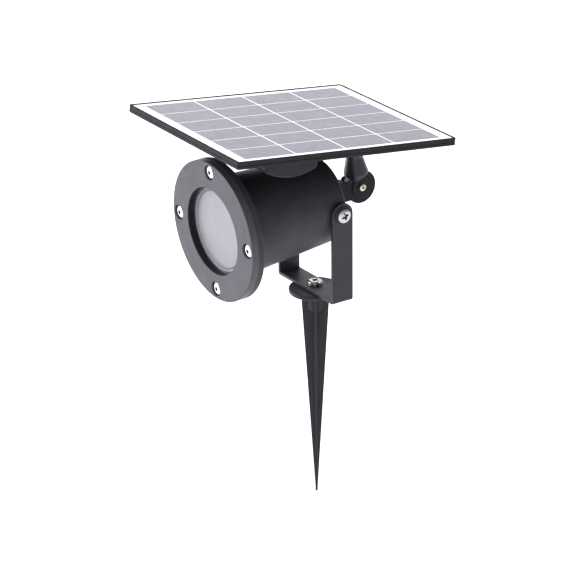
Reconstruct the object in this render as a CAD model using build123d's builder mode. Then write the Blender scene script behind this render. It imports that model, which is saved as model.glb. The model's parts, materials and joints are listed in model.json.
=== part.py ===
from build123d import *

import os
from math import cos, radians, sin

os.makedirs("parts", exist_ok=True)

# The origin is on the spike's axis, on the underside of its disc. The light shines towards -Y, the tilt
# axes lie along X, and +Z is up. Lengths are in millimetres and angles in degrees.

# Ground spike and base bolt
disc_radius = 17.0
disc_height = 3.0
spike_length = 143.0
blade_turn = -34.0
blade_thickness = 2.0
boss_radius = 4.75
boss_depth = 9.0
bolt_radius = 2.5
bolt_depth = 7.5

# Bracket, bent from one strap
bracket_width = 61.4
strap_width = 15.4
strap_thickness = 2.0
bend_radius = 3.0
pin_height = 62.0
pin_radius = 2.5

# Gaps between pieces that move on each other
face_gap = 0.05
shaft_gap = 0.1
open_gap = 0.3

# Projector barrel: distances run forwards from the pivot pins along the light's axis
barrel_pitch = 2.3
barrel_rear = -6.0
barrel_rear_radius = 27.2
barrel_front_radius = 32.2
wall = 2.2
rear_wall = 3.0
flange_rear = 66.8
flange_front = 71.2
flange_radius = 45.0
seat_radius = 31.3
seat_floor = 68.2
bezel_rear = 72.0
bezel_front = 76.0
bezel_opening = 28.0
bezel_screw_circle = 38.75
pin_boss_face = 28.2
pin_boss_end = 19.0

# Optics inside the barrel
plate_radius = 24.9
optic_circle = 12.0
pillar_circle = 22.3
pillar_radius = 2.0
standoff_circle = 15.5
standoff_radius = 2.5
post_top = 6.0
board_front = 7.6
heat_sink_rear = 18.0
heat_sink_base = 23.0
heat_sink_front = 26.0
led_board_front = 27.6
motor_rear = 28.5
motor_front = 46.0
motor_radius = 5.0
holder_rear = 38.0
holder_front = 41.0
wheel_rear = 48.0
wheel_radius = 19.0
shaft_radius = 1.0
carrier_rear = 60.0
carrier_front = 62.5

# Knuckle behind the barrel
knuckle_reach = 32.9
arm_rise = 1.7
knuckle_radius = 10.9
knuckle_half_width = 4.4
knuckle_step = 0.7
arm_top = 4.4
arm_bottom = 7.2
arm_shoulder = 6.4
fork_half_gap = 2.65
knuckle_pin_radius = 1.5
arm_screw_height = 10.4
wire_radius = 1.3
wire_height = 2.4
stem_lean = 7.0
stem_radius = 4.5
foot_radius = 14.0
foot_thickness = 3.0
stem_foot_slope = 9.0

# Solar panel: heights run down from its top face, lengths from its centre
panel_width = 124.0
panel_length = 160.0
panel_thickness = 4.8
panel_centre = (0.0, -16.0, 118.1)
panel_slope = 6.85
panel_lip = 1.0
pocket_depth = 1.7
backsheet_top = -0.9
cell_top = -0.6
cover_top = -0.1
cell_rows = 6
cell_columns = 4
cell_row_pitch = 19.0
cell_column_pitch = 36.0
row_gap = 0.7
column_gap = 1.6

# Battery housing under the panel
housing_half_length = 36.0
housing_front = -42.0
housing_rear = -3.8
housing_side_depth = 18.4
housing_middle_depth = 23.4
housing_wall = 2.0
housing_floor = 1.8
cell_radius = 9.1
cell_half_length = 32.5
cell_depth = 12.3
button_depth = 11.0
button_radius = 4.0
button_travel = 0.8

forward = Vector(0, -cos(radians(barrel_pitch)), -sin(radians(barrel_pitch)))
pin_centre = Vector(0, 0, pin_height)
light_up = Vector(0, -sin(radians(barrel_pitch)), cos(radians(barrel_pitch)))
knuckle_centre = pin_centre - forward * knuckle_reach + light_up * arm_rise
light_axis = Axis(pin_centre, forward)
section_plane = Plane(origin=pin_centre, x_dir=(1, 0, 0), z_dir=Vector(1, 0, 0).cross(forward))
panel_plane = Plane(
    origin=panel_centre,
    x_dir=(1, 0, 0),
    z_dir=(0, sin(radians(panel_slope)), cos(radians(panel_slope))),
)
stem_plane = Plane(
    origin=knuckle_centre,
    x_dir=(1, 0, 0),
    z_dir=(0, -sin(radians(stem_lean)), cos(radians(stem_lean))),
)
knuckle_in_panel = panel_plane.to_local_coords(knuckle_centre)
stem_height = -(knuckle_in_panel.Z + panel_thickness) / cos(radians(stem_lean + panel_slope))
foot_y = knuckle_in_panel.Y - stem_height * sin(radians(stem_lean + panel_slope))
foot_plane = Plane(
    origin=panel_plane.from_local_coords(Vector(0, foot_y, -panel_thickness)),
    x_dir=(1, 0, 0),
    z_dir=panel_plane.z_dir,
)
housing_middle = (housing_front + housing_rear) / 2


def light_plane(distance):
    """Plane across the light's axis, facing forwards, at a distance in front of the pins."""
    return Plane(origin=pin_centre + forward * distance, x_dir=(1, 0, 0), z_dir=forward)


def upright_plane(turn):
    """Vertical plane through the spike's axis, turned about it."""
    angle = radians(turn)
    return Plane(origin=(0, 0, 0), x_dir=(cos(angle), sin(angle), 0), z_dir=(sin(angle), -cos(angle), 0))


def side_plane(x, side=1):
    """Plane facing away from the middle along X, through the pivot pins' axis."""
    return Plane(origin=(side * x, 0, pin_height), x_dir=(0, side, 0), z_dir=(side, 0, 0))


def knuckle_plane(x, side=1):
    """Plane facing away from the middle along X, through the knuckle's axis."""
    centre = Vector(side * x, knuckle_centre.Y, knuckle_centre.Z)
    return Plane(origin=centre, x_dir=(0, side, 0), z_dir=(side, 0, 0))


def housing_wall_plane(y):
    """Plane facing forwards, parallel to the battery housing's front wall, level with the button."""
    origin = panel_plane.from_local_coords(Vector(0, y, -button_depth))
    return Plane(origin=origin, x_dir=(1, 0, 0), z_dir=-panel_plane.y_dir)


def near(sketch, *points):
    """The sketch's corners nearest to the given points."""
    return [sketch.vertices().sort_by_distance(point)[0] for point in points]


def pan_screw(head_radius, head_height, shank_radius, shank_length):
    """Pan-head screw: its head's underside is at height zero, and its shank points down."""
    with BuildPart() as screw:
        Cylinder(head_radius, head_height, align=(Align.CENTER, Align.CENTER, Align.MIN))
        fillet(screw.edges().group_by(Axis.Z)[-1], head_height * 0.6)
        Cylinder(shank_radius, shank_length, align=(Align.CENTER, Align.CENTER, Align.MAX))
        chamfer(screw.edges().group_by(Axis.Z)[0], shank_radius * 0.3)
        with BuildSketch(Plane.XY.offset(head_height)):
            Rectangle(head_radius * 1.05, head_radius * 0.2)
            Rectangle(head_radius * 0.2, head_radius * 1.05)
        extrude(amount=-head_height * 0.55, mode=Mode.SUBTRACT)
    return screw.part


def countersunk_screw(head_radius, shank_radius, length):
    """Countersunk screw: its head's top is at height zero, and its shank points down."""
    with BuildPart() as screw:
        Cylinder(shank_radius, length, align=(Align.CENTER, Align.CENTER, Align.MAX))
        Cone(
            shank_radius,
            head_radius,
            head_radius - shank_radius,
            align=(Align.CENTER, Align.CENTER, Align.MAX),
        )
        with BuildSketch(Plane.XY):
            Rectangle(head_radius * 1.1, head_radius * 0.22)
            Rectangle(head_radius * 0.22, head_radius * 1.1)
        extrude(amount=-0.7, mode=Mode.SUBTRACT)
    return screw.part


def lens_solid(radius, edge_height, middle_height):
    """Lens with a flat rear face at height zero and a domed front."""
    rise = middle_height - edge_height
    dome_radius = (radius**2 + rise**2) / (2 * rise)
    with BuildPart() as lens:
        Cylinder(radius, middle_height, align=(Align.CENTER, Align.CENTER, Align.MIN))
        with Locations((0, 0, middle_height - dome_radius)):
            Sphere(dome_radius, mode=Mode.INTERSECT)
    return lens.part


# ---------------------------------------------------------------- spike


def make_ground_spike():
    with BuildPart() as ground_spike:
        with BuildSketch(Plane.XY):
            Circle(disc_radius)
        extrude(amount=disc_height)
        fillet(ground_spike.edges().group_by(Axis.Z)[-1], 0.8)
        fillet(ground_spike.edges().group_by(Axis.Z)[0], 1.1)
        with BuildSketch(Plane.XY):
            Circle(boss_radius)
        extrude(amount=-boss_depth)
        fillet(ground_spike.edges().group_by(Axis.Z)[0], 2.0)
        for turn in (blade_turn, blade_turn + 90):
            with BuildSketch(upright_plane(turn)):
                with BuildLine():
                    Polyline(
                        (-9.2, 0.5),
                        (-6.9, -36),
                        (-4.5, -73),
                        (-0.7, 2.5 - spike_length),
                        (0, -spike_length),
                        (0.7, 2.5 - spike_length),
                        (4.5, -73),
                        (6.9, -36),
                        (9.2, 0.5),
                        close=True,
                    )
                make_face()
            extrude(amount=blade_thickness / 2, both=True)
        with BuildSketch(Plane.XY.offset(disc_height)):
            Circle(bolt_radius)
        extrude(amount=-disc_height - bolt_depth, mode=Mode.SUBTRACT)
    ground_spike.part.label = "ground_spike"
    export_step(ground_spike.part, "parts/ground_spike.step")


def make_base_fastening():
    washer_bottom = disc_height + strap_thickness + 2 * face_gap
    washer_top = washer_bottom + 0.6
    with BuildPart() as base_washer:
        with BuildSketch(Plane.XY.offset(washer_bottom)):
            Circle(5.5)
            Circle(bolt_radius + shaft_gap / 2, mode=Mode.SUBTRACT)
        extrude(amount=washer_top - washer_bottom)
    base_washer.part.label = "base_washer"
    export_step(base_washer.part, "parts/base_washer.step")

    screw = pan_screw(4.7, 2.2, bolt_radius, washer_top + bolt_depth - 0.5)
    with BuildPart() as base_bolt:
        with Locations((0, 0, washer_top)):
            add(screw)
    base_bolt.part.label = "base_bolt"
    export_step(base_bolt.part, "parts/base_bolt.step")


# ---------------------------------------------------------------- bracket


def make_u_bracket():
    middle = bracket_width / 2 - strap_thickness / 2
    bottom = disc_height + face_gap
    arm_top = pin_height + strap_width / 2
    with BuildPart() as u_bracket:
        with BuildSketch(Plane.XZ):
            with BuildLine():
                FilletPolyline(
                    (-middle, arm_top),
                    (-middle, bottom + strap_thickness / 2),
                    (middle, bottom + strap_thickness / 2),
                    (middle, arm_top),
                    radius=bend_radius,
                )
            trace(line_width=strap_thickness)
        extrude(amount=strap_width / 2, both=True)
        with BuildSketch(Plane.YZ):
            with Locations((0, pin_height)):
                Circle(strap_width / 2)
            with Locations((0, pin_height / 2)):
                Rectangle(strap_width, pin_height)
        extrude(amount=bracket_width, both=True, mode=Mode.INTERSECT)
        with BuildSketch(Plane.YZ):
            with Locations((0, pin_height)):
                Circle(pin_radius + shaft_gap)
        extrude(amount=bracket_width, both=True, mode=Mode.SUBTRACT)
        with BuildSketch(Plane.XY):
            Circle(bolt_radius + shaft_gap)
        extrude(amount=disc_height + 2 * strap_thickness, mode=Mode.SUBTRACT)
        chamfer(u_bracket.edges().filter_by(Axis.Z).filter_by(lambda e: e.length > 40), 0.3)
    u_bracket.part.label = "u_bracket"
    export_step(u_bracket.part, "parts/u_bracket.step")


# ---------------------------------------------------------------- barrel and its front


def make_barrel_housing():
    inner_rear = barrel_rear + rear_wall
    with BuildPart() as barrel_housing:
        with BuildSketch(section_plane) as outline:
            with BuildLine():
                Polyline(
                    (0, barrel_rear),
                    (barrel_rear_radius, barrel_rear),
                    (barrel_front_radius, flange_rear),
                    (flange_radius, flange_rear),
                    (flange_radius, flange_front),
                    (seat_radius, flange_front),
                    (seat_radius, seat_floor),
                    (barrel_front_radius - wall, seat_floor),
                    (barrel_rear_radius - wall, inner_rear),
                    (0, inner_rear),
                    close=True,
                )
            make_face()
            fillet(near(outline, (barrel_rear_radius, barrel_rear)), 2.5)
            fillet(near(outline, (barrel_front_radius, flange_rear)), 4.0)
            fillet(near(outline, (flange_radius, flange_rear)), 1.0)
        revolve(axis=light_axis)
        for side in (1, -1):
            with BuildSketch(side_plane(pin_boss_end, side)):
                Circle(7)
            extrude(amount=pin_boss_face - pin_boss_end)
            with BuildSketch(side_plane(pin_boss_face, side)):
                Circle(pin_radius)
            extrude(amount=pin_boss_end - pin_boss_face, mode=Mode.SUBTRACT)
        with BuildSketch(light_plane(inner_rear)):
            with PolarLocations(standoff_circle, 3, start_angle=90):
                Circle(3.5)
        extrude(amount=post_top - inner_rear)
        with BuildSketch(light_plane(post_top)):
            with PolarLocations(standoff_circle, 3, start_angle=90):
                Circle(1.5)
        extrude(amount=-6, mode=Mode.SUBTRACT)
        with BuildSketch(light_plane(flange_front)):
            with PolarLocations(bezel_screw_circle, 4):
                Circle(2)
        extrude(amount=flange_rear - flange_front - 1, mode=Mode.SUBTRACT)
        with BuildSketch(light_plane(barrel_rear)):
            with Locations((0, arm_rise + arm_screw_height), (0, arm_rise - arm_screw_height)):
                Circle(1.5)
            with Locations((0, arm_rise + wire_height)):
                Circle(wire_radius)
        extrude(amount=rear_wall, mode=Mode.SUBTRACT)
    barrel_housing.part.label = "barrel_housing"
    export_step(barrel_housing.part, "parts/barrel_housing.step")


def make_front_bezel():
    with BuildPart() as front_bezel:
        with BuildSketch(section_plane) as outline:
            with BuildLine():
                Polyline(
                    (bezel_opening, bezel_rear),
                    (flange_radius, bezel_rear),
                    (flange_radius, bezel_front),
                    (bezel_opening, bezel_front),
                    close=True,
                )
            make_face()
            fillet(near(outline, (flange_radius, bezel_front)), 1.2)
            chamfer(near(outline, (bezel_opening, bezel_front)), 0.8)
        revolve(axis=light_axis)
        with Locations(light_plane(bezel_front)):
            with PolarLocations(bezel_screw_circle, 4):
                CounterBoreHole(radius=2.2, counter_bore_radius=4.7, counter_bore_depth=2.2)
    front_bezel.part.label = "front_bezel"
    export_step(front_bezel.part, "parts/front_bezel.step")


def make_bezel_fittings():
    with BuildPart() as bezel_gasket:
        with BuildSketch(light_plane(flange_front)):
            Circle(flange_radius - 0.5)
            Circle(seat_radius + 0.7, mode=Mode.SUBTRACT)
            with PolarLocations(bezel_screw_circle, 4):
                Circle(2.2, mode=Mode.SUBTRACT)
        extrude(amount=bezel_rear - flange_front)
    bezel_gasket.part.label = "bezel_gasket"
    export_step(bezel_gasket.part, "parts/bezel_gasket.step")

    with BuildPart() as glass_seal:
        with BuildSketch(light_plane(flange_front)):
            Circle(seat_radius - 0.2)
            Circle(bezel_opening + 0.4, mode=Mode.SUBTRACT)
        extrude(amount=bezel_rear - flange_front)
    glass_seal.part.label = "glass_seal"
    export_step(glass_seal.part, "parts/glass_seal.step")

    with BuildPart() as front_glass:
        with BuildSketch(light_plane(seat_floor)):
            Circle(seat_radius - 0.2)
        extrude(amount=flange_front - seat_floor)
        chamfer(front_glass.edges(), 0.3)
    front_glass.part.label = "front_glass"
    export_step(front_glass.part, "parts/front_glass.step")

    screw = pan_screw(4.0, 2.6, 2.0, bezel_front - 2.2 - flange_rear + 0.5)
    with BuildPart() as bezel_screws:
        with Locations(light_plane(bezel_front - 2.2)):
            with PolarLocations(bezel_screw_circle, 4):
                add(screw)
    bezel_screws.part.label = "bezel_screws"
    export_step(bezel_screws.part, "parts/bezel_screws.step")


def make_pivots():
    arm_inner = bracket_width / 2 - strap_thickness
    arm_outer = bracket_width / 2
    washer_top = arm_outer + face_gap + 0.7
    with BuildPart() as friction_washers:
        for side in (1, -1):
            with BuildSketch(side_plane(pin_boss_face, side)):
                Circle(6)
                Circle(pin_radius, mode=Mode.SUBTRACT)
            extrude(amount=arm_inner - face_gap - pin_boss_face)
    friction_washers.part.label = "friction_washers"
    export_step(friction_washers.part, "parts/friction_washers.step")

    with BuildPart() as pivot_washers:
        for side in (1, -1):
            with BuildSketch(side_plane(arm_outer + face_gap, side)):
                Circle(5.9)
                Circle(pin_radius, mode=Mode.SUBTRACT)
            extrude(amount=washer_top - arm_outer - face_gap)
    pivot_washers.part.label = "pivot_washers"
    export_step(pivot_washers.part, "parts/pivot_washers.step")

    screw = pan_screw(4.6, 2.1, pin_radius, washer_top - pin_boss_end)
    with BuildPart() as pivot_screws:
        for side in (1, -1):
            with Locations(side_plane(washer_top, side)):
                add(screw)
    pivot_screws.part.label = "pivot_screws"
    export_step(pivot_screws.part, "parts/pivot_screws.step")


# ---------------------------------------------------------------- optics


def make_lens_group():
    with BuildPart() as lens_carrier:
        with BuildSketch(light_plane(carrier_rear)):
            Circle(plate_radius + 2)
        extrude(amount=carrier_front - carrier_rear)
        with BuildSketch(light_plane(carrier_front)):
            with PolarLocations(optic_circle, 4, start_angle=45):
                Circle(7.6)
        extrude(amount=1.5)
        with BuildSketch(light_plane(carrier_rear)):
            with PolarLocations(optic_circle, 4, start_angle=45):
                Circle(6.5)
            with PolarLocations(pillar_circle, 4):
                Circle(1.25)
        extrude(amount=2 * (carrier_front - carrier_rear), mode=Mode.SUBTRACT)
    lens_carrier.part.label = "lens_carrier"
    export_step(lens_carrier.part, "parts/lens_carrier.step")

    lens = lens_solid(6.5, 2.0, 4.6)
    with BuildPart() as objective_lenses:
        with Locations(light_plane(carrier_rear + 0.5)):
            with PolarLocations(optic_circle, 4, start_angle=45):
                add(lens)
    objective_lenses.part.label = "objective_lenses"
    export_step(objective_lenses.part, "parts/objective_lenses.step")

    with BuildPart() as optics_pillars:
        with BuildSketch(light_plane(heat_sink_front)):
            with PolarLocations(pillar_circle, 4):
                Circle(pillar_radius)
        extrude(amount=carrier_rear - heat_sink_front)
        with BuildSketch(light_plane(carrier_rear)):
            with PolarLocations(pillar_circle, 4):
                Circle(1.25)
        extrude(amount=-5, mode=Mode.SUBTRACT)
    optics_pillars.part.label = "optics_pillars"
    export_step(optics_pillars.part, "parts/optics_pillars.step")

    screw = pan_screw(2.2, 1.6, 1.25, carrier_front - carrier_rear + 4.5)
    with BuildPart() as pillar_screws:
        with Locations(light_plane(carrier_front)):
            with PolarLocations(pillar_circle, 4):
                add(screw)
    pillar_screws.part.label = "pillar_screws"
    export_step(pillar_screws.part, "parts/pillar_screws.step")


def make_light_source():
    with BuildPart() as condenser_holder:
        with BuildSketch(light_plane(holder_rear)):
            Circle(plate_radius)
            Circle(motor_radius, mode=Mode.SUBTRACT)
            with PolarLocations(optic_circle, 4, start_angle=45):
                Circle(6, mode=Mode.SUBTRACT)
            with PolarLocations(pillar_circle, 4):
                Circle(pillar_radius, mode=Mode.SUBTRACT)
        extrude(amount=holder_front - holder_rear)
    condenser_holder.part.label = "condenser_holder"
    export_step(condenser_holder.part, "parts/condenser_holder.step")

    lens = lens_solid(6.0, 2.0, 5.0)
    with BuildPart() as condenser_lenses:
        with Locations(light_plane(holder_rear)):
            with PolarLocations(optic_circle, 4, start_angle=45):
                add(lens)
    condenser_lenses.part.label = "condenser_lenses"
    export_step(condenser_lenses.part, "parts/condenser_lenses.step")

    with BuildPart() as led_board:
        with BuildSketch(light_plane(heat_sink_front)):
            Circle(plate_radius)
            with PolarLocations(pillar_circle, 4):
                Circle(pillar_radius, mode=Mode.SUBTRACT)
        extrude(amount=led_board_front - heat_sink_front)
    led_board.part.label = "led_board"
    export_step(led_board.part, "parts/led_board.step")

    with BuildPart() as led_emitters:
        with BuildSketch(light_plane(led_board_front)):
            with PolarLocations(optic_circle, 4, start_angle=45):
                Rectangle(3.5, 3.5)
        extrude(amount=0.8)
        with Locations(light_plane(led_board_front + 0.8)):
            with PolarLocations(optic_circle, 4, start_angle=45):
                Sphere(1.3, arc_size1=0)
    led_emitters.part.label = "led_emitters"
    export_step(led_emitters.part, "parts/led_emitters.step")


def make_heat_sink():
    fin_pitch = 4.0
    with BuildPart() as heat_sink:
        with BuildSketch(light_plane(heat_sink_rear)):
            with GridLocations(fin_pitch, 0, 11, 1):
                Rectangle(1.4, 2 * plate_radius)
            Circle(plate_radius, mode=Mode.INTERSECT)
            with PolarLocations(standoff_circle, 3, start_angle=90):
                Circle(standoff_radius + 0.8, mode=Mode.SUBTRACT)
        extrude(amount=heat_sink_base - heat_sink_rear)
        with BuildSketch(light_plane(heat_sink_base)):
            Circle(plate_radius)
        extrude(amount=heat_sink_front - heat_sink_base)
        with Locations(light_plane(heat_sink_front)):
            with PolarLocations(standoff_circle, 3, start_angle=90):
                CounterSinkHole(radius=1.5, counter_sink_radius=3.0, depth=3.5, counter_sink_angle=90)
    heat_sink.part.label = "heat_sink"
    export_step(heat_sink.part, "parts/heat_sink.step")

    screw = countersunk_screw(3.0, 1.5, 8.0)
    with BuildPart() as heat_sink_screws:
        with Locations(light_plane(heat_sink_front)):
            with PolarLocations(standoff_circle, 3, start_angle=90):
                add(screw)
    heat_sink_screws.part.label = "heat_sink_screws"
    export_step(heat_sink_screws.part, "parts/heat_sink_screws.step")

    with BuildPart() as board_standoffs:
        with BuildSketch(light_plane(board_front)):
            with PolarLocations(standoff_circle, 3, start_angle=90):
                RegularPolygon(standoff_radius, 6)
        extrude(amount=heat_sink_base - board_front)
        with BuildSketch(light_plane(heat_sink_base)):
            with PolarLocations(standoff_circle, 3, start_angle=90):
                Circle(1.5)
        extrude(amount=-6, mode=Mode.SUBTRACT)
        with BuildSketch(light_plane(board_front)):
            with PolarLocations(standoff_circle, 3, start_angle=90):
                Circle(1.5)
        extrude(amount=-6, mode=Mode.ADD)
    board_standoffs.part.label = "board_standoffs"
    export_step(board_standoffs.part, "parts/board_standoffs.step")


def make_pattern_drive():
    with BuildPart() as pattern_motor:
        with BuildSketch(light_plane(motor_rear)):
            Circle(motor_radius)
        extrude(amount=motor_front - motor_rear)
        with BuildSketch(light_plane(motor_front)):
            Circle(2.5)
        extrude(amount=0.8)
        with BuildSketch(light_plane(motor_rear)):
            with Locations((2.5, 0), (-2.5, 0)):
                Rectangle(0.6, 2)
        extrude(amount=led_board_front - motor_rear)
        with BuildSketch(light_plane(motor_front + 0.8)):
            Circle(shaft_radius + face_gap)
        extrude(amount=-5, mode=Mode.SUBTRACT)
    pattern_motor.part.label = "pattern_motor"
    export_step(pattern_motor.part, "parts/pattern_motor.step")

    with BuildPart() as wheel_shaft:
        with BuildSketch(light_plane(motor_front - 4)):
            Circle(shaft_radius)
        extrude(amount=wheel_rear + 3 - motor_front + 4)
    wheel_shaft.part.label = "wheel_shaft"
    export_step(wheel_shaft.part, "parts/wheel_shaft.step")

    with BuildPart() as pattern_wheel:
        with BuildSketch(light_plane(wheel_rear)):
            Circle(wheel_radius)
            with PolarLocations(optic_circle, 6):
                with PolarLocations(0, 3):
                    Rectangle(9.6, 0.9, mode=Mode.SUBTRACT)
                with PolarLocations(2.9, 6):
                    Rectangle(0.7, 2.0, mode=Mode.SUBTRACT)
        extrude(amount=1.0)
        with BuildSketch(light_plane(wheel_rear)):
            Circle(3.5)
        extrude(amount=3.0)
        with BuildSketch(light_plane(wheel_rear)):
            Circle(shaft_radius)
        extrude(amount=3.0, mode=Mode.SUBTRACT)
    pattern_wheel.part.label = "pattern_wheel"
    export_step(pattern_wheel.part, "parts/pattern_wheel.step")


def make_driver():
    post_hole = 1.5
    with BuildPart() as driver_board:
        with BuildSketch(light_plane(post_top)):
            Circle(18.5)
            with PolarLocations(standoff_circle, 3, start_angle=90):
                Circle(post_hole, mode=Mode.SUBTRACT)
        extrude(amount=board_front - post_top)
    driver_board.part.label = "driver_board"
    export_step(driver_board.part, "parts/driver_board.step")

    with BuildPart() as driver_components:
        with BuildSketch(light_plane(board_front)):
            with Locations((-8, -4)):
                Circle(3.15)
        extrude(amount=8)
        with BuildSketch(light_plane(board_front)):
            with Locations((4, -8)):
                RectangleRounded(6.6, 6.6, 1.5)
        extrude(amount=3.8)
        with BuildSketch(light_plane(board_front)):
            with Locations((1, 2)):
                Rectangle(5, 4)
        extrude(amount=1.5)
        with BuildSketch(light_plane(board_front)):
            with Locations((11, 3)):
                Rectangle(5, 7.5)
        extrude(amount=5.5)
    driver_components.part.label = "driver_components"
    export_step(driver_components.part, "parts/driver_components.step")


# ---------------------------------------------------------------- knuckle


def make_hinge_arm():
    plate_front = barrel_rear - 0.8
    plate_rear = plate_front - 3.0
    screw_spots = ((0, arm_rise + arm_screw_height), (0, arm_rise - arm_screw_height))
    with BuildPart() as arm_gasket:
        with BuildSketch(light_plane(plate_front)):
            with Locations((0, arm_rise)):
                SlotOverall(28, 14, rotation=90)
            with Locations(*screw_spots):
                Circle(1.5, mode=Mode.SUBTRACT)
            with Locations((0, arm_rise + wire_height)):
                Circle(wire_radius, mode=Mode.SUBTRACT)
        extrude(amount=0.8)
    arm_gasket.part.label = "arm_gasket"
    export_step(arm_gasket.part, "parts/arm_gasket.step")

    with BuildPart() as hinge_arm:
        with BuildSketch(light_plane(plate_rear)):
            with Locations((0, arm_rise)):
                SlotOverall(28, 14, rotation=90)
        extrude(amount=plate_front - plate_rear)
        fillet(hinge_arm.edges().group_by(Axis(pin_centre, forward))[0], 0.8)
        with BuildSketch(light_plane(plate_rear)):
            with Locations(*screw_spots):
                Circle(1.5)
        extrude(amount=plate_front - plate_rear, mode=Mode.SUBTRACT)
        with BuildSketch(light_plane(-knuckle_reach)):
            with Locations((0, arm_rise + (arm_top - arm_bottom) / 2)):
                Rectangle(2 * knuckle_half_width, arm_top + arm_bottom)
        extrude(amount=knuckle_reach + plate_rear + 0.5)
        with BuildSketch(knuckle_plane(0)):
            with BuildLine():
                Polyline(
                    (-9.2, arm_top - 1.5),
                    (-9.2, arm_top),
                    (-13.6, arm_shoulder),
                    (-knuckle_reach - plate_rear - 0.5, arm_shoulder),
                    (-knuckle_reach - plate_rear - 0.5, arm_top - 1.5),
                    close=True,
                )
            make_face()
        extrude(amount=knuckle_half_width, both=True)
        with BuildSketch(knuckle_plane(0)):
            Circle(knuckle_radius)
        extrude(amount=knuckle_half_width, both=True)
        with BuildSketch(knuckle_plane(0)):
            Circle(7.25)
        extrude(amount=knuckle_half_width + knuckle_step, both=True)
        with BuildSketch(light_plane(-knuckle_reach - 12)):
            with Locations((0, arm_rise)):
                Rectangle(2 * fork_half_gap, 24)
        extrude(amount=12, mode=Mode.SUBTRACT)
        with BuildSketch(knuckle_plane(0)):
            Circle(knuckle_radius + 0.4)
        extrude(amount=fork_half_gap, both=True, mode=Mode.SUBTRACT)
        with BuildSketch(knuckle_plane(0)):
            Circle(knuckle_pin_radius)
        extrude(amount=10, both=True, mode=Mode.SUBTRACT)
        with BuildSketch(knuckle_plane(knuckle_half_width + knuckle_step, -1)):
            RegularPolygon(3.2, 6)
        extrude(amount=-1.8, mode=Mode.SUBTRACT)
        with BuildSketch(light_plane(plate_front)):
            with Locations((0, arm_rise + wire_height)):
                Circle(wire_radius)
        extrude(amount=-knuckle_reach - plate_front, mode=Mode.SUBTRACT)
    hinge_arm.part.label = "hinge_arm"
    export_step(hinge_arm.part, "parts/hinge_arm.step")

    screw = pan_screw(2.8, 2.0, 1.5, 3.0 + 0.8 + rear_wall)
    with BuildPart() as arm_screws:
        for spot in screw_spots:
            with Locations(light_plane(plate_rear)):
                with Locations(Location((0, spot[1], 0), (180, 0, 0))):
                    add(screw)
    arm_screws.part.label = "arm_screws"
    export_step(arm_screws.part, "parts/arm_screws.step")

    screw = pan_screw(2.4, 1.5, knuckle_pin_radius, 2 * knuckle_half_width + 1.0)
    with BuildPart() as knuckle_screw:
        with Locations(knuckle_plane(knuckle_half_width + knuckle_step)):
            add(screw)
    knuckle_screw.part.label = "knuckle_screw"
    export_step(knuckle_screw.part, "parts/knuckle_screw.step")

    with BuildPart() as knuckle_nut:
        with BuildSketch(knuckle_plane(knuckle_half_width + knuckle_step, -1)):
            RegularPolygon(3.2, 6)
            Circle(knuckle_pin_radius, mode=Mode.SUBTRACT)
        extrude(amount=-1.8)
    knuckle_nut.part.label = "knuckle_nut"
    export_step(knuckle_nut.part, "parts/knuckle_nut.step")


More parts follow.
